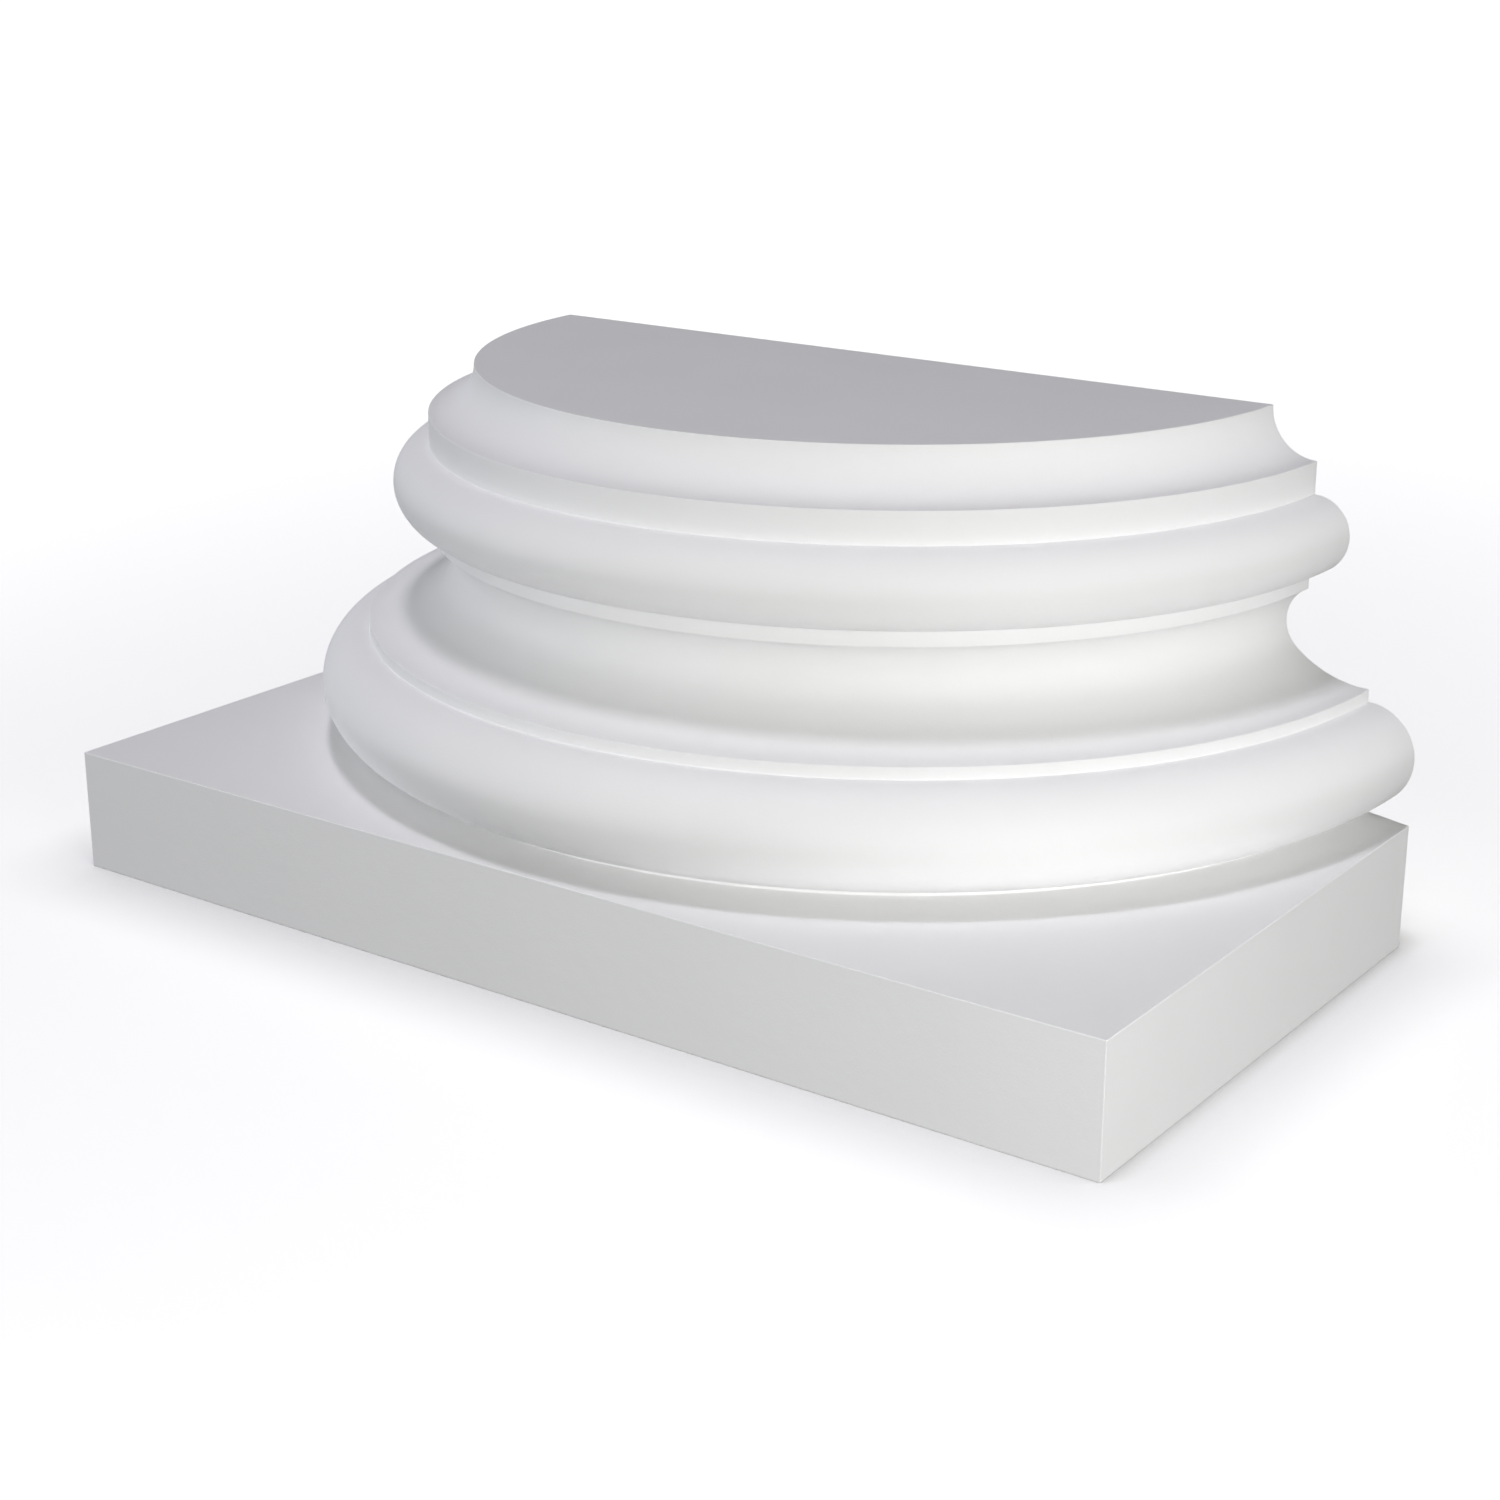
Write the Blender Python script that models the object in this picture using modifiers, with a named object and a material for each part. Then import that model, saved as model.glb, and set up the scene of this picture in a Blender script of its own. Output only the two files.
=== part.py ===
"""Half column base: an Attic base and its plinth in one moulding, cut flat down the axis of the column.

The mouldings are one turned profile. The back is the plane of the cut: it goes against the wall, and the
column's axis lies in it. Metres, +Z up, front towards -Y. The origin is the centre of the underside.
"""

import math

import bmesh
import bpy

# Plinth
PLINTH_HEIGHT = 0.042

# Collar, the low cone between the plinth and the lower torus, and the short neck on it
COLLAR_INSET = 0.0009
COLLAR_RISE = 0.0022
NECK_HEIGHT = 0.0023

# Lower members. The spread is how much wider they stand than the upper ones, on each side.
LOWER_TORUS_RADIUS = 0.017
LOWER_FILLET_HEIGHT = 0.0041
LOWER_SPREAD = 0.023

# Scotia. The turn is how far round, below its deepest point, the throat goes on before the sweep takes over.
THROAT_RADIUS = 0.012
THROAT_UNDERCUT = 0.0068
THROAT_TURN = math.radians(48.5)

# Upper members
UPPER_RADIUS = 0.160
UPPER_FILLET_HEIGHT = 0.0054
UPPER_TORUS_RADIUS = 0.0127
LISTEL_HEIGHT = 0.0107
CAVETTO_RADIUS = 0.0161

# Fineness of the facets. The turn's steps are for the full circle.
TURN_STEPS = 96
CAVETTO_STEPS = 6
UPPER_TORUS_STEPS = 12
THROAT_STEPS = 7
SWEEP_STEPS = 5
LOWER_TORUS_STEPS = 14

# Finish
WHITE = (0.87, 0.87, 0.86, 1.0)
ROUGHNESS = 0.62
SHARP_ANGLE = math.radians(30)

# Radii that follow. The lower torus reaches out as far as the faces of the plinth.
LOWER_RADIUS = UPPER_RADIUS + LOWER_SPREAD
REACH = LOWER_RADIUS + LOWER_TORUS_RADIUS
AXIS_Y = REACH / 2

# The scotia's two arcs run in the same direction where they meet, and the sweep ends level on the lower fillet.
THROAT_CENTRE = UPPER_RADIUS - THROAT_UNDERCUT + THROAT_RADIUS
THROAT_DROP = math.sqrt(THROAT_RADIUS**2 - (THROAT_CENTRE - UPPER_RADIUS) ** 2)
SWEEP_RADIUS = THROAT_RADIUS + (LOWER_RADIUS - THROAT_CENTRE) / math.cos(THROAT_TURN)

# Heights that follow, from the underside up
NECK_Z = PLINTH_HEIGHT + COLLAR_RISE
LOWER_TORUS_Z = NECK_Z + NECK_HEIGHT
LOWER_FILLET_Z = LOWER_TORUS_Z + 2 * LOWER_TORUS_RADIUS
SWEEP_Z = LOWER_FILLET_Z + LOWER_FILLET_HEIGHT
SWEEP_CENTRE_Z = SWEEP_Z + SWEEP_RADIUS
THROAT_CENTRE_Z = SWEEP_CENTRE_Z - (SWEEP_RADIUS - THROAT_RADIUS) * math.sin(THROAT_TURN)
UPPER_FILLET_Z = THROAT_CENTRE_Z + THROAT_DROP
UPPER_TORUS_Z = UPPER_FILLET_Z + UPPER_FILLET_HEIGHT
LISTEL_Z = UPPER_TORUS_Z + 2 * UPPER_TORUS_RADIUS
CAVETTO_Z = LISTEL_Z + LISTEL_HEIGHT
BED_Z = CAVETTO_Z + CAVETTO_RADIUS


def arc(centre_radius, centre_z, radius, start, end, steps):
    """Points (radius, height) along an arc from one angle to another, both ends included."""
    angles = [start + (end - start) * i / steps for i in range(steps + 1)]
    return [(centre_radius + radius * math.cos(a), centre_z + radius * math.sin(a)) for a in angles]


def torus_points(centre_radius, bottom, radius, steps):
    """The half round of a torus, from its top edge round to its bottom edge."""
    return arc(centre_radius, bottom + radius, radius, math.pi / 2, -math.pi / 2, steps)


def cavetto_points():
    """The quarter hollow from the bed's edge down and out to the listel."""
    return arc(UPPER_RADIUS, BED_Z, CAVETTO_RADIUS, math.pi, 1.5 * math.pi, CAVETTO_STEPS)


def scotia_points():
    """The tight throat under the upper fillet, then the wide sweep out to the lower fillet's edge."""
    top = math.pi - math.atan2(THROAT_DROP, THROAT_CENTRE - UPPER_RADIUS)
    meeting = math.pi + THROAT_TURN
    throat = arc(THROAT_CENTRE, THROAT_CENTRE_Z, THROAT_RADIUS, top, meeting, THROAT_STEPS)
    sweep = arc(LOWER_RADIUS, SWEEP_CENTRE_Z, SWEEP_RADIUS, meeting, 1.5 * math.pi, SWEEP_STEPS)
    return throat + sweep[1:]


def base_profile():
    """The mouldings' outline, from the axis at the bed, down the outside, into the plinth and back to the axis."""
    root_z = PLINTH_HEIGHT / 2
    collar_radius = REACH - COLLAR_INSET
    points = [(0.0, BED_Z)]
    points += cavetto_points()
    points += torus_points(UPPER_RADIUS, UPPER_TORUS_Z, UPPER_TORUS_RADIUS, UPPER_TORUS_STEPS)
    points += scotia_points()
    points += torus_points(LOWER_RADIUS, LOWER_TORUS_Z, LOWER_TORUS_RADIUS, LOWER_TORUS_STEPS)
    points += [(LOWER_RADIUS, NECK_Z)]
    points += [(collar_radius, PLINTH_HEIGHT)]
    points += [(collar_radius, root_z), (0.0, root_z)]
    return points


def new_collection(name):
    collection = bpy.data.collections.new(name)
    bpy.context.scene.collection.children.link(collection)
    return collection


def new_material(name, colour, roughness):
    material = bpy.data.materials.new(name)
    material.use_nodes = True
    shader = material.node_tree.nodes["Principled BSDF"]
    shader.inputs["Base Color"].default_value = colour
    shader.inputs["Roughness"].default_value = roughness
    shader.inputs["Metallic"].default_value = 0.0
    return material


def make_object(name, shape, collection):
    mesh = bpy.data.meshes.new(name)
    shape.to_mesh(mesh)
    shape.free()
    obj = bpy.data.objects.new(name, mesh)
    collection.objects.link(obj)
    return obj


def make_block(name, low, high, collection):
    """A box from its lowest and highest corners, for the Booleans only."""
    block = bmesh.new()
    bmesh.ops.create_cube(block, size=1.0)
    bmesh.ops.scale(block, vec=[b - a for a, b in zip(low, high)], verts=block.verts)
    bmesh.ops.translate(block, vec=[(a + b) / 2 for a, b in zip(low, high)], verts=block.verts)
    obj = make_object(name, block, collection)
    obj.hide_render = True
    obj.display_type = "WIRE"
    return obj


def make_profile(name, collection):
    """The profile as a chain of edges, half a step past +X, so that no row of facet corners lies in the cut."""
    half_step = math.pi / TURN_STEPS
    outline = bmesh.new()
    chain = [
        outline.verts.new((radius * math.cos(half_step), radius * math.sin(half_step), z))
        for radius, z in base_profile()
    ]
    for upper, lower in zip(chain, chain[1:]):
        outline.edges.new((upper, lower))
    obj = make_object(name, outline, collection)
    obj.location = (0.0, AXIS_Y, 0.0)
    return obj


def add_turn(obj):
    turn = obj.modifiers.new("turn", "SCREW")
    turn.axis = "Z"
    turn.angle = math.tau
    turn.steps = TURN_STEPS
    turn.render_steps = TURN_STEPS
    turn.use_merge_vertices = True
    turn.merge_threshold = 0.00001


def add_boolean(obj, name, operation, other):
    boolean = obj.modifiers.new(name, "BOOLEAN")
    boolean.operation = operation
    boolean.solver = "EXACT"
    boolean.object = other


def add_shading(obj):
    """Round faces smooth, and a crisp edge wherever two faces turn by more than SHARP_ANGLE."""
    tree = bpy.data.node_groups.new("crisp edges", "GeometryNodeTree")
    tree.interface.new_socket(name="Shape", in_out="INPUT", socket_type="NodeSocketGeometry")
    tree.interface.new_socket(name="Shape", in_out="OUTPUT", socket_type="NodeSocketGeometry")
    shape_in = tree.nodes.new("NodeGroupInput")
    shape_out = tree.nodes.new("NodeGroupOutput")
    edge_angle = tree.nodes.new("GeometryNodeInputMeshEdgeAngle")
    gentle = tree.nodes.new("FunctionNodeCompare")
    gentle.operation = "LESS_THAN"
    gentle.inputs["B"].default_value = SHARP_ANGLE
    smooth = tree.nodes.new("GeometryNodeSetShadeSmooth")
    smooth.domain = "EDGE"
    tree.links.new(edge_angle.outputs["Unsigned Angle"], gentle.inputs["A"])
    tree.links.new(gentle.outputs["Result"], smooth.inputs["Shade Smooth"])
    tree.links.new(shape_in.outputs["Shape"], smooth.inputs["Geometry"])
    tree.links.new(smooth.outputs["Geometry"], shape_out.inputs["Shape"])
    obj.modifiers.new("shading", "NODES").node_group = tree


def make_base(collection, cutters):
    """Turn the profile, join the plinth to it, and cut both flat at the column's axis."""
    base = make_profile("half_column_base", collection)
    add_turn(base)

    plinth = make_block(
        "whole plinth",
        (-REACH, AXIS_Y - REACH, 0.0),
        (REACH, AXIS_Y + REACH, PLINTH_HEIGHT),
        cutters,
    )
    add_boolean(base, "join plinth", "UNION", plinth)

    wall = make_block(
        "wall side",
        (-2 * REACH, AXIS_Y, -BED_Z),
        (2 * REACH, AXIS_Y + 2 * REACH, 2 * BED_Z),
        cutters,
    )
    add_boolean(base, "cut at wall", "DIFFERENCE", wall)
    add_shading(base)
    base.data.materials.append(new_material("moulded white", WHITE, ROUGHNESS))


def main():
    for obj in list(bpy.data.objects):
        bpy.data.objects.remove(obj, do_unlink=True)
    make_base(new_collection("half column base"), new_collection("cutters"))


main()
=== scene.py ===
# %% [markdown]
# # A half column base in Blender
#
# Half columns stand against a house front, and each stands on a base like this one: a square slab, the
# plinth, and above it rings of mouldings that step in towards the shaft. This one is cast in hard white
# foam as a single piece and is flat at the back, where the glue goes.
#
# The solid comes from the CAD model and keeps its shape here. This script dresses it. It models the same
# piece again, finer and with softened edges, gives it a white moulded finish, and sets up the studio.

# %% Load the frame
import math

import bmesh
import bpy
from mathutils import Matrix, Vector


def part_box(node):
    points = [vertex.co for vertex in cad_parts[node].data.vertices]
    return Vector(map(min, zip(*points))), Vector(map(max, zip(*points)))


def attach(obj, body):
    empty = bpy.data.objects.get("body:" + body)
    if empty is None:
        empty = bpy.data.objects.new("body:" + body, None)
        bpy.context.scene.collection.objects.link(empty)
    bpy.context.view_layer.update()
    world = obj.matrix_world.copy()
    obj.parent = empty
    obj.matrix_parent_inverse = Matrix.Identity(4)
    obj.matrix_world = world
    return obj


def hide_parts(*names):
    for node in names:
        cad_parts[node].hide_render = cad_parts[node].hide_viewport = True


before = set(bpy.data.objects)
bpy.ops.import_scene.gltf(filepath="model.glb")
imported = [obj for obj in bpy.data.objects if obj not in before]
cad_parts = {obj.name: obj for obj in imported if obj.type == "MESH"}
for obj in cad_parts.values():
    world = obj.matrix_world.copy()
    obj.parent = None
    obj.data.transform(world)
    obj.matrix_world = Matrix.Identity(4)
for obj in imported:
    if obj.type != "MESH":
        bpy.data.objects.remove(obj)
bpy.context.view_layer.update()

low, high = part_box("half_column_base")
print("the solid is", [round(size * 1000, 2) for size in high - low], "mm wide, deep and high")

# %% [markdown]
# ## Where things are
#
# The frame says how far the piece reaches. The plinth is twice as wide as it is deep, so half its width
# is both its depth and the largest radius of the mouldings. The column's axis stands in the back face.

# %% Reach, back and axis
REACH = (high.x - low.x) / 2
BACK_Y = high.y
FRONT_Y = low.y
BED_Z = high.z
AXIS = Vector((0.0, BACK_Y, 0.0))
print("reach", round(REACH * 1000, 2), "mm, column axis at y =", round(BACK_Y, 4))

# %% [markdown]
# ## The members of the moulding
#
# An Attic base is named from the ground up: plinth, lower torus, fillet, scotia, fillet, upper torus,
# and here a listel and a cavetto that lead into the shaft. Fillets and the listel are plain upright
# bands. A torus is a half round that swells out, and a scotia and a cavetto are hollows. Only radii and
# heights are written down, and every other place follows from them, so a change to one member moves all
# the members above it.

# %% Sizes of the members
PLINTH_HEIGHT = 0.042
COLLAR_INSET = 0.0009
COLLAR_RISE = 0.0022
NECK_HEIGHT = 0.0023
LOWER_TORUS_RADIUS = 0.017
LOWER_FILLET_HEIGHT = 0.0041
THROAT_RADIUS = 0.012
THROAT_UNDERCUT = 0.0068
THROAT_TURN = math.radians(48.5)
UPPER_RADIUS = 0.160
UPPER_FILLET_HEIGHT = 0.0054
UPPER_TORUS_RADIUS = 0.0127
LISTEL_HEIGHT = 0.0107
CAVETTO_RADIUS = 0.0161
print("plinth", PLINTH_HEIGHT * 1000, "mm high, tori", 2000 * LOWER_TORUS_RADIUS, "and",
      2000 * UPPER_TORUS_RADIUS, "mm thick")

# %% Radii and levels that follow
LOWER_RADIUS = REACH - LOWER_TORUS_RADIUS
THROAT_CENTRE = UPPER_RADIUS - THROAT_UNDERCUT + THROAT_RADIUS
THROAT_DROP = math.sqrt(THROAT_RADIUS**2 - (THROAT_CENTRE - UPPER_RADIUS) ** 2)
SWEEP_RADIUS = THROAT_RADIUS + (LOWER_RADIUS - THROAT_CENTRE) / math.cos(THROAT_TURN)

NECK_Z = PLINTH_HEIGHT + COLLAR_RISE
LOWER_TORUS_Z = NECK_Z + NECK_HEIGHT
LOWER_FILLET_Z = LOWER_TORUS_Z + 2 * LOWER_TORUS_RADIUS
SWEEP_CENTRE_Z = LOWER_FILLET_Z + LOWER_FILLET_HEIGHT + SWEEP_RADIUS
THROAT_CENTRE_Z = SWEEP_CENTRE_Z - (SWEEP_RADIUS - THROAT_RADIUS) * math.sin(THROAT_TURN)
UPPER_FILLET_Z = THROAT_CENTRE_Z + THROAT_DROP
UPPER_TORUS_Z = UPPER_FILLET_Z + UPPER_FILLET_HEIGHT
LISTEL_Z = UPPER_TORUS_Z + 2 * UPPER_TORUS_RADIUS
CAVETTO_Z = LISTEL_Z + LISTEL_HEIGHT
overshoot = CAVETTO_Z + CAVETTO_RADIUS - BED_Z
print("the members add up to the bed within", round(abs(overshoot) * 1e6, 1), "thousandths of a mm")

# %% [markdown]
# ## A pen for outlines
#
# The outline of a moulding could be typed in as points, but then nobody could read it or change it.
# Drawing it is clearer. The pen is a single vertex: extruding it draws a straight line, and spinning it
# round a centre draws an arc. Both leave a chain of edges behind, which is the same thing that one gets
# by hand in the editor.

# %% Pen strokes
def line_to(shape, pen, radius, z):
    """Draw a straight stretch and return the pen at its far end."""
    stroke = bmesh.ops.extrude_vert_indiv(shape, verts=[pen])
    stroke["verts"][0].co = AXIS + Vector((radius, 0.0, z))
    return stroke["verts"][0]


def arc_round(shape, pen, radius, z, turn, steps):
    """Swing the pen round a centre and return it. A positive turn is clockwise, with +X to the right."""
    centre = AXIS + Vector((radius, 0.0, z))
    stroke = bmesh.ops.spin(shape, geom=[pen], cent=centre, axis=(0, 1, 0), angle=turn, steps=steps)
    return next(item for item in stroke["geom_last"] if isinstance(item, bmesh.types.BMVert))


# %% [markdown]
# ## The outline, from the bed down to the plinth
#
# The scotia takes the most care. Two arcs make it: a tight one that cuts in under the upper fillet, and
# a wide one that sweeps out to the lower fillet. They meet where both point the same way, because the
# second centre lies on the line through the meeting point and the first centre. That is the masons' own
# way of setting one out.

# %% Steps of the arcs
CAVETTO_STEPS = 20
TORUS_STEPS = 40
THROAT_STEPS = 22
SWEEP_STEPS = 14
print("a torus turns", 180 / TORUS_STEPS, "degrees a step")

# %% Draw the outline
piece = bmesh.new()
pen = piece.verts.new(AXIS + Vector((UPPER_RADIUS - CAVETTO_RADIUS, 0.0, BED_Z)))
pen = arc_round(piece, pen, UPPER_RADIUS, BED_Z, -math.pi / 2, CAVETTO_STEPS)
pen = line_to(piece, pen, UPPER_RADIUS, LISTEL_Z)
pen = arc_round(piece, pen, UPPER_RADIUS, UPPER_TORUS_Z + UPPER_TORUS_RADIUS, math.pi, TORUS_STEPS)
pen = line_to(piece, pen, UPPER_RADIUS, UPPER_FILLET_Z)

throat_turn = math.atan2(THROAT_DROP, THROAT_CENTRE - UPPER_RADIUS) + THROAT_TURN
pen = arc_round(piece, pen, THROAT_CENTRE, THROAT_CENTRE_Z, -throat_turn, THROAT_STEPS)
pen = arc_round(piece, pen, LOWER_RADIUS, SWEEP_CENTRE_Z, THROAT_TURN - math.pi / 2, SWEEP_STEPS)
pen = line_to(piece, pen, LOWER_RADIUS, LOWER_FILLET_Z)
pen = arc_round(piece, pen, LOWER_RADIUS, LOWER_TORUS_Z + LOWER_TORUS_RADIUS, math.pi, TORUS_STEPS)
pen = line_to(piece, pen, LOWER_RADIUS, NECK_Z)
pen = line_to(piece, pen, REACH - COLLAR_INSET, PLINTH_HEIGHT)
print("the outline has", len(piece.verts), "points")

# %% [markdown]
# ## The half turn
#
# Spinning the outline round the column's axis by half a turn sweeps out every member at once. The
# negative angle takes it from the right-hand side round the front to the left. A Screw modifier would
# do the same, but here the spin has to be real mesh, because the plinth is stitched to it next.
# Hundreds of small turns also add up a tiny rounding error, so both ends are set exactly on the back
# plane.

# %% Spin the outline
HALF_TURN_STEPS = 240
outline = piece.verts[:] + piece.edges[:]
bmesh.ops.spin(piece, geom=outline, cent=AXIS, axis=(0, 0, 1), angle=-math.pi, steps=HALF_TURN_STEPS)

NEAR = 1e-6
ends = [vert for vert in piece.verts if abs(vert.co.y - BACK_Y) < NEAR]
for vert in ends:
    vert.co.y = BACK_Y
print("points on the back plane:", len(ends))
print("half turn:", len(piece.faces), "faces")

# %% [markdown]
# ## The plinth
#
# The plinth begins as a cube, scaled and moved to its place. Its top and back come off, because they
# are about to become parts of larger faces that run round the mouldings.

# %% Plinth from a cube
plinth = bmesh.ops.create_cube(piece, size=1.0)["verts"]
bmesh.ops.scale(piece, vec=(2 * REACH, BACK_Y - FRONT_Y, PLINTH_HEIGHT), verts=plinth)
bmesh.ops.translate(piece, vec=(0.0, (BACK_Y + FRONT_Y) / 2, PLINTH_HEIGHT / 2), verts=plinth)
piece.normal_update()
plinth_faces = {face for vert in plinth for face in vert.link_faces}
open_sides = [face for face in plinth_faces if max(face.normal.z, face.normal.y) > 0.9]
bmesh.ops.delete(piece, geom=open_sides, context="FACES")
print("plinth left open on", len(open_sides), "sides")

# %% [markdown]
# ## Close it into one body
#
# Three flat faces are missing: the bed on top, the top of the plinth round the collar, and the whole
# back. Each is a closed ring of edges in one plane, so an edge net fill closes each with a single face.
# Three wires complete the rings: the straight side of the bed, and the two short ones between the
# collar and the plinth's corners.

# %% Wires across the gaps
def at_back(item):
    return all(abs(vert.co.y - BACK_Y) < NEAR for vert in getattr(item, "verts", [item]))


def at_level(item, z):
    return all(abs(vert.co.z - z) < NEAR for vert in getattr(item, "verts", [item]))


bed_ends = [vert for vert in piece.verts if at_back(vert) and at_level(vert, BED_Z)]
bed_wire = piece.edges.new(bed_ends)
top_ends = [vert for vert in piece.verts if at_back(vert) and at_level(vert, PLINTH_HEIGHT)]
top_ends.sort(key=lambda vert: vert.co.x)
side_wires = [piece.edges.new(top_ends[:2]), piece.edges.new(top_ends[2:])]
print("wires of", [round(wire.calc_length() * 1000, 2) for wire in [bed_wire, *side_wires]], "mm")

# %% Fill the three rings
for name, lies_in_it in {
    "bed": lambda edge: at_level(edge, BED_Z),
    "plinth top": lambda edge: at_level(edge, PLINTH_HEIGHT),
    "back": at_back,
}.items():
    ring = [edge for edge in piece.edges if lies_in_it(edge) and len(edge.link_faces) < 2]
    filled = bmesh.ops.edgenet_fill(piece, edges=ring)["faces"]
    print(name, "closed by", len(filled), "face with", len(ring), "sides")

bmesh.ops.recalc_face_normals(piece, faces=piece.faces[:])
print("open edges left:", sum(not edge.is_manifold for edge in piece.edges))

# %% [markdown]
# The back goes to the wall and the underside to its ledge. Both take the glue, so they get a finish of
# their own later on. A number on each face says which of the object's materials it wears: 0 is the skin
# and 1 the bare foam.

# %% Mark the faces that take the glue
for face in piece.faces:
    face.material_index = int(at_back(face) or at_level(face, low.z))
print("glued faces:", sum(face.material_index for face in piece.faces))

# %% [markdown]
# ## Make it an object
#
# The object stays at the origin, and its place is in its mesh. It rides on the CAD body and stands for
# the plain solid, which is hidden.

# %% Object, riding on the frame
mesh = bpy.data.meshes.new("moulded_base")
piece.to_mesh(mesh)
piece.free()
mesh.shade_smooth()
base = bpy.data.objects.new("moulded_base", mesh)
bpy.context.scene.collection.objects.link(base)
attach(base, "root")
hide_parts("half_column_base")
print(base.name, "has", len(mesh.polygons), "faces")

# %% [markdown]
# ## Softened edges
#
# Nothing that comes out of a mould has edges as sharp as a computer's. A Bevel modifier with an angle
# limit rounds each crisp edge and leaves the smooth curves alone. Hardened normals keep the flat faces
# flat in the light.

# %% Bevel every crisp edge
EDGE_WIDTH = 0.0003
soften = base.modifiers.new("softened edges", "BEVEL")
soften.width = EDGE_WIDTH
soften.segments = 3
soften.limit_method = "ANGLE"
soften.angle_limit = math.radians(25)
soften.use_clamp_overlap = True
soften.harden_normals = True
print("edges rounded over", EDGE_WIDTH * 1000, "mm in", soften.segments, "steps")

# %% [markdown]
# ## White moulded foam
#
# Moulded foam that is primed white is matt, but not chalky. From a step away it looks even. Close up it
# has the fine pebbled skin of the mould, a slight ripple where the primer ran together, and a tone that
# drifts a little over the width of a hand. All of it comes from noise on Object coordinates, in metres,
# so the grain keeps its real size and stays on the surface from any side.

# %% Helpers for nodes
def add_node(tree, kind, settings=None, **inputs):
    """Add a shader node, with its own settings and the values of its inputs by name."""
    node = tree.nodes.new(kind)
    for name, value in (settings or {}).items():
        setattr(node, name, value)
    for name, value in inputs.items():
        node.inputs[name.replace("_", " ")].default_value = value
    return node


def noise_of(tree, grain, detail, roughness):
    """Noise on Object coordinates whose lumps are about one grain apart, in metres."""
    where = tree.nodes.get("Texture Coordinate") or tree.nodes.new("ShaderNodeTexCoord")
    noise = add_node(tree, "ShaderNodeTexNoise", Scale=1 / grain, Detail=detail, Roughness=roughness)
    tree.links.new(where.outputs["Object"], noise.inputs["Vector"])
    return noise.outputs["Fac"]


def between(tree, source, low_value, high_value, soft_low=0.3, soft_high=0.7):
    """Turn a noise into a number that runs from one value to another."""
    span = add_node(tree, "ShaderNodeMapRange", From_Min=soft_low, From_Max=soft_high)
    span.inputs["To Min"].default_value = low_value
    span.inputs["To Max"].default_value = high_value
    tree.links.new(source, span.inputs["Value"])
    return span.outputs["Result"]


# %% [markdown]
# The skin's colour is nearly white, since white primer sends back more than nine tenths of the light.
# That is also why the hollows look so bright: light bounces about in them many times before it leaves.
# The drift in tone and in gloss is kept so slight that one feels it more than sees it.

# %% Skin colour and gloss
white = bpy.data.materials.new("white moulded foam")
white.use_nodes = True
tree = white.node_tree
skin = tree.nodes["Principled BSDF"]
skin.inputs["Specular IOR Level"].default_value = 0.35

DRIFT_WIDTH = 0.07
drift = noise_of(tree, grain=DRIFT_WIDTH, detail=3.0, roughness=0.5)
tone = add_node(tree, "ShaderNodeValToRGB")
tone.color_ramp.elements[0].position = 0.3
tone.color_ramp.elements[0].color = (0.908, 0.909, 0.905, 1.0)
tone.color_ramp.elements[1].position = 0.7
tone.color_ramp.elements[1].color = (0.926, 0.926, 0.924, 1.0)
tree.links.new(drift, tone.inputs["Fac"])
tree.links.new(tone.outputs["Color"], skin.inputs["Base Color"])

CLOUD_WIDTH = 0.016
cloudy = noise_of(tree, grain=CLOUD_WIDTH, detail=4.0, roughness=0.6)
tree.links.new(between(tree, cloudy, 0.56, 0.68), skin.inputs["Roughness"])
print("skin tone from", *[round(stop.color[0], 3) for stop in tone.color_ramp.elements])

# %% [markdown]
# The relief of the skin is far too fine to model. Two bump nodes in a row carry it: a wide, shallow
# ripple of a few millimetres, and on top of it the pebbled grain, about half a millimetre apart and a
# few hundredths deep.

# %% Skin relief
RIPPLE_WIDTH = 0.005
RIPPLE_DEPTH = 0.00014
PEBBLE_WIDTH = 0.0006
PEBBLE_DEPTH = 0.00009
ripple = add_node(tree, "ShaderNodeBump", Strength=0.5, Distance=RIPPLE_DEPTH)
tree.links.new(noise_of(tree, grain=RIPPLE_WIDTH, detail=1.0, roughness=0.4), ripple.inputs["Height"])
pebbles = add_node(tree, "ShaderNodeBump", Strength=0.5, Distance=PEBBLE_DEPTH)
tree.links.new(noise_of(tree, grain=PEBBLE_WIDTH, detail=2.0, roughness=0.5), pebbles.inputs["Height"])
tree.links.new(ripple.outputs["Normal"], pebbles.inputs["Normal"])
tree.links.new(pebbles.outputs["Normal"], skin.inputs["Normal"])
base.data.materials.append(white)
print("ripple", RIPPLE_WIDTH * 1000, "mm wide, pebbles", PEBBLE_WIDTH * 1000, "mm apart")

# %% [markdown]
# ## Bare foam
#
# The photograph doesn't show the back or the underside. On such mouldings they are sawn flat and left
# unprimed, for the glue to grip. Sawn foam is cream rather than white and quite dull. Its bubbles lie
# open as fine pores, and the blade leaves faint strokes. A Voronoi texture in three dimensions is just
# right for pores: it places a bubble's centre in each cell of space, and the flat face cuts some
# bubbles in the middle and misses others.

# %% Pores and saw strokes
PORE_SPACING = 0.0016
STROKE_LENGTH = 0.12
STROKE_WIDTH = 0.0014
bare = bpy.data.materials.new("bare foam")
bare.use_nodes = True
foam_tree = bare.node_tree
foam = foam_tree.nodes["Principled BSDF"]
foam.inputs["Specular IOR Level"].default_value = 0.15
foam_where = foam_tree.nodes.new("ShaderNodeTexCoord")

bubbles = add_node(foam_tree, "ShaderNodeTexVoronoi", Scale=1 / PORE_SPACING)
foam_tree.links.new(foam_where.outputs["Object"], bubbles.inputs["Vector"])
solid_foam = between(foam_tree, bubbles.outputs["Distance"], 0.0, 1.0, soft_low=0.1, soft_high=0.28)

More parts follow.
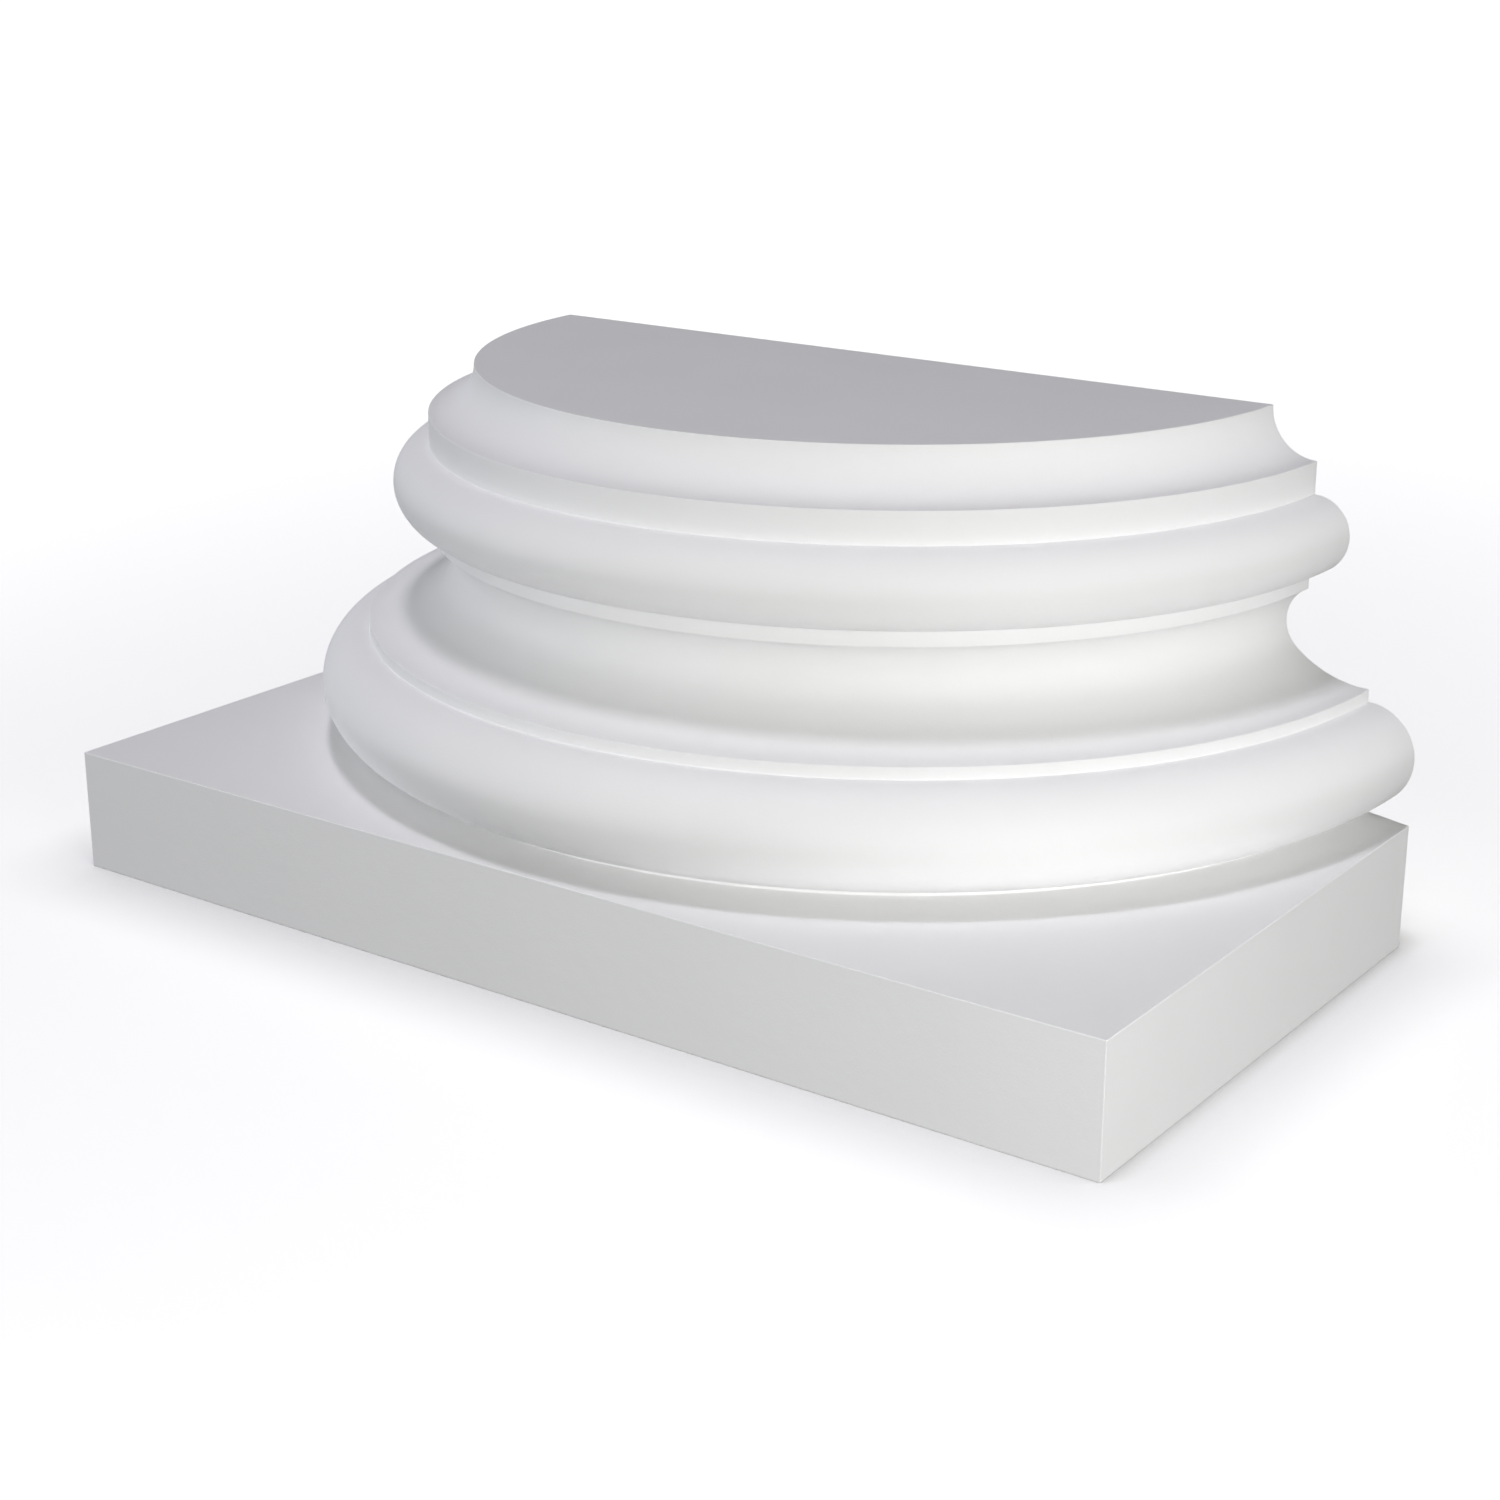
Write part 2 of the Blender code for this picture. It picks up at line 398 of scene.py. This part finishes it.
stretch = add_node(foam_tree, "ShaderNodeMapping")
stretch.inputs["Scale"].default_value = (1 / STROKE_LENGTH, 1 / STROKE_WIDTH, 1 / STROKE_WIDTH)
foam_tree.links.new(foam_where.outputs["Object"], stretch.inputs["Vector"])
strokes = add_node(foam_tree, "ShaderNodeTexNoise", Scale=1.0, Detail=2.0, Roughness=0.6)
foam_tree.links.new(stretch.outputs["Vector"], strokes.inputs["Vector"])
print("pores about", PORE_SPACING * 1000, "mm apart, strokes", STROKE_LENGTH * 1000, "mm long")

# %% [markdown]
# Two noises decide the tone together: patches as wide as a thumb, and the strokes, which hold a little
# dust. The pores are darker, because hardly any light gets out of a hole.

# %% Colour and dullness of the foam
PATCH_WIDTH = 0.03
patches = noise_of(foam_tree, grain=PATCH_WIDTH, detail=3.0, roughness=0.6)
mottling = add_node(foam_tree, "ShaderNodeMath", {"operation": "ADD"})
foam_tree.links.new(patches, mottling.inputs[0])
foam_tree.links.new(strokes.outputs["Fac"], mottling.inputs[1])

cream = add_node(foam_tree, "ShaderNodeValToRGB")
cream.color_ramp.elements[0].color = (0.815, 0.788, 0.718, 1.0)
cream.color_ramp.elements[1].color = (0.885, 0.866, 0.808, 1.0)
lightness = between(foam_tree, mottling.outputs["Value"], 0.0, 1.0, soft_low=0.75, soft_high=1.25)
foam_tree.links.new(lightness, cream.inputs["Fac"])

pitted = add_node(foam_tree, "ShaderNodeMix", {"data_type": "RGBA"}, A=(0.63, 0.59, 0.50, 1.0))
foam_tree.links.new(solid_foam, pitted.inputs["Factor"])
foam_tree.links.new(cream.outputs["Color"], pitted.inputs["B"])
foam_tree.links.new(pitted.outputs["Result"], foam.inputs["Base Color"])
foam_tree.links.new(between(foam_tree, patches, 0.82, 0.92), foam.inputs["Roughness"])
print("foam tone from", *[round(stop.color[0], 3) for stop in cream.color_ramp.elements])

# %% Relief of the foam
STROKE_DEPTH = 0.00015
PORE_DEPTH = 0.0003
sawn = add_node(foam_tree, "ShaderNodeBump", Strength=0.6, Distance=STROKE_DEPTH)
foam_tree.links.new(strokes.outputs["Fac"], sawn.inputs["Height"])
porous = add_node(foam_tree, "ShaderNodeBump", Strength=0.7, Distance=PORE_DEPTH)
foam_tree.links.new(solid_foam, porous.inputs["Height"])
foam_tree.links.new(sawn.outputs["Normal"], porous.inputs["Normal"])
foam_tree.links.new(porous.outputs["Normal"], foam.inputs["Normal"])
base.data.materials.append(bare)
print(base.name, "wears", [slot.name for slot in base.material_slots])

# %% [markdown]
# ## Floor and backdrop
#
# A plain pale sweep of paper: flat under the piece, then curving up into a wall all round, so that
# every view has the same pale ground. A ring of vertices would do for the floor, but the curve comes
# for free when its outline is drawn with the pen and spun a full turn. The paper takes the soft shadow
# of the piece but throws no light back on it, as when the piece stands raised above the paper. It glows
# a little by itself, so that it stays pale far from the lamps.

# %% Sweep of paper
FLOOR_RADIUS = 5.0
CURVE_RADIUS = 2.0
WALL_HEIGHT = 6.0
CURVE_STEPS = 12
ROUND_STEPS = 96
sheet = bmesh.new()
sheet_pen = sheet.verts.new(AXIS)
sheet_pen = line_to(sheet, sheet_pen, FLOOR_RADIUS, low.z)
curve_z = low.z + CURVE_RADIUS
sheet_pen = arc_round(sheet, sheet_pen, FLOOR_RADIUS, curve_z, -math.pi / 2, CURVE_STEPS)
sheet_pen = line_to(sheet, sheet_pen, FLOOR_RADIUS + CURVE_RADIUS, WALL_HEIGHT)
drawn = sheet.verts[:] + sheet.edges[:]
bmesh.ops.spin(
    sheet, geom=drawn, cent=AXIS, axis=(0, 0, 1), angle=math.tau, steps=ROUND_STEPS, use_merge=True
)
bmesh.ops.remove_doubles(sheet, verts=sheet.verts[:], dist=NEAR)
bmesh.ops.recalc_face_normals(sheet, faces=sheet.faces[:])
sheet_mesh = bpy.data.meshes.new("paper sweep")
sheet.to_mesh(sheet_mesh)
sheet.free()
sheet_mesh.shade_smooth()
floor = bpy.data.objects.new("paper sweep", sheet_mesh)
bpy.context.scene.collection.objects.link(floor)
for ray in ("diffuse", "glossy", "transmission", "shadow"):
    setattr(floor, "visible_" + ray, False)
print("the paper is", 2 * (FLOOR_RADIUS + CURVE_RADIUS), "m across")

# %% [markdown]
# The glow grows with the distance, because the lamps light the paper near the piece and leave the rest
# dark.

# %% Paper
paper = bpy.data.materials.new("pale paper")
paper.use_nodes = True
paper_tree = paper.node_tree
paper_shader = paper_tree.nodes["Principled BSDF"]
paper_shader.inputs["Base Color"].default_value = (0.8, 0.8, 0.8, 1.0)
paper_shader.inputs["Roughness"].default_value = 0.9
paper_shader.inputs["Specular IOR Level"].default_value = 0.0
paper_shader.inputs["Emission Color"].default_value = (1.0, 1.0, 1.0, 1.0)
paper_where = paper_tree.nodes.new("ShaderNodeTexCoord")
distance = add_node(paper_tree, "ShaderNodeVectorMath", {"operation": "LENGTH"})
paper_tree.links.new(paper_where.outputs["Object"], distance.inputs[0])

NEAR_GLOW = 0.45
FAR_GLOW = 0.9
NEAR_PAPER = 0.3
FAR_PAPER = 1.5
away = distance.outputs["Value"]
glow = between(paper_tree, away, NEAR_GLOW, FAR_GLOW, soft_low=NEAR_PAPER, soft_high=FAR_PAPER)
print("the paper glows from", NEAR_GLOW, "near the piece to", FAR_GLOW, "far off")

# %% [markdown]
# A glow alone would drown the shadow right at the foot of the piece, and the piece would seem to float.
# An Ambient Occlusion node measures how much of the sky the piece hides from each spot of the paper
# within a few centimetres, and the glow is cut down by that.

# %% Contact shadow
CONTACT_REACH = 0.04
open_sky = add_node(paper_tree, "ShaderNodeAmbientOcclusion", {"samples": 8}, Distance=CONTACT_REACH)
unhidden = between(paper_tree, open_sky.outputs["AO"], 0.0, 1.0, soft_low=0.4, soft_high=1.0)
shaded_glow = add_node(paper_tree, "ShaderNodeMath", {"operation": "MULTIPLY"})
paper_tree.links.new(glow, shaded_glow.inputs[0])
paper_tree.links.new(unhidden, shaded_glow.inputs[1])
paper_tree.links.new(shaded_glow.outputs["Value"], paper_shader.inputs["Emission Strength"])
floor.data.materials.append(paper)
print("the contact shadow reaches", CONTACT_REACH * 1000, "mm out")

# %% [markdown]
# ## Camera
#
# The lens and the viewpoint were matched to the photograph's perspective: a moderately long lens, to
# the right of the front and a little above the bed.

# %% Camera
SENSOR = 36.0
LENS = 64.3
STAND = Vector((0.5003, -0.6750, 0.3415))
LOOK_DOWN = math.radians(18.82)
LOOK_LEFT = math.radians(35.89)
camera_data = bpy.data.cameras.new("camera")
camera_data.sensor_width = SENSOR
camera_data.lens = LENS
camera = bpy.data.objects.new("camera", camera_data)
camera.location = STAND
camera.rotation_euler = (math.pi / 2 - LOOK_DOWN, 0.0, LOOK_LEFT)
bpy.context.scene.collection.objects.link(camera)
bpy.context.scene.camera = camera
print("camera stands", round(STAND.length, 3), "m from the origin")

# %% [markdown]
# ## Light
#
# A white piece is drawn by its shadows alone, and in the photograph they tell where the lamps stood.
# Upright faces are brighter the more they turn to the right, and the undersides of the tori stay clear,
# so the main light is on that side and as low as the piece itself. The flat tops are grey, so little
# light comes from above. Yet each torus throws a soft-edged shadow straight down, on the scotia's sweep
# and on the collar. Only a small lamp, high up, does that. It is slightly violet, as the flat tops are.
# Dim lamps at the left and behind right keep those sides from going flat. The last lamp is for views of
# the back: it is too low and too narrow to reach what the camera sees.
#
# Each lamp is a soft box: a glowing rectangle turned towards the middle of the piece. Its place is
# given as a bearing from the front, positive to the right, then a distance and a height. The larger and
# nearer, the softer.

# %% Soft boxes
MIDDLE = Vector((0.0, 0.0, 0.08))
NEUTRAL = (1.0, 1.0, 1.0)
COOL = (0.90, 0.93, 1.0)
VIOLET = (0.93, 0.91, 1.0)
WARM = (1.0, 0.99, 0.93)


def soft_box(name, bearing, distance, height, wide, tall, watts, tint=NEUTRAL):
    """A glowing rectangle that faces the middle of the piece."""
    turn = math.radians(bearing)
    place = Vector((math.sin(turn) * distance, -math.cos(turn) * distance, height))
    lamp = bpy.data.lights.new(name, "AREA")
    lamp.shape = "RECTANGLE"
    lamp.size = wide
    lamp.size_y = tall
    lamp.energy = watts
    lamp.color = tint
    box = bpy.data.objects.new(name, lamp)
    box.location = place
    box.rotation_euler = (MIDDLE - place).to_track_quat("-Z", "Y").to_euler()
    box.visible_camera = False
    bpy.context.scene.collection.objects.link(box)
    print(name, "at", [round(c, 2) for c in place], "with", watts, "W")


soft_box("overhead", bearing=8, distance=0.41, height=3.5, wide=0.5, tall=0.5, watts=37.5, tint=VIOLET)
soft_box("main right", bearing=60, distance=1.0, height=0.13, wide=0.45, tall=0.22, watts=4.2)
soft_box("front right", bearing=30, distance=1.0, height=0.45, wide=0.45, tall=0.35, watts=1.8, tint=WARM)
soft_box("far left", bearing=-60, distance=2.4, height=0.2, wide=1.0, tall=0.36, watts=17.5, tint=COOL)
soft_box("behind right", bearing=120, distance=2.4, height=0.2, wide=1.0, tall=0.36, watts=5.5)
soft_box("left", bearing=-90, distance=1.0, height=0.45, wide=0.45, tall=0.35, watts=0.6, tint=COOL)
soft_box("behind", bearing=180, distance=2.4, height=0.05, wide=0.4, tall=0.1, watts=30.0)

# %% [markdown]
# A faint, even light from all round stands for what the walls and the ceiling of the studio send back.
# The view transform is the plain one, so that white primer comes out as white and not as a film stock's
# grey.

# %% World
ROOM_LIGHT = 0.14
world = bpy.data.worlds.new("studio")
bpy.context.scene.world = world
world.use_nodes = True
room = world.node_tree.nodes["Background"]
room.inputs["Color"].default_value = (1.0, 1.0, 1.0, 1.0)
room.inputs["Strength"].default_value = ROOM_LIGHT
bpy.context.scene.view_settings.view_transform = "Standard"
print("light from all round:", ROOM_LIGHT)
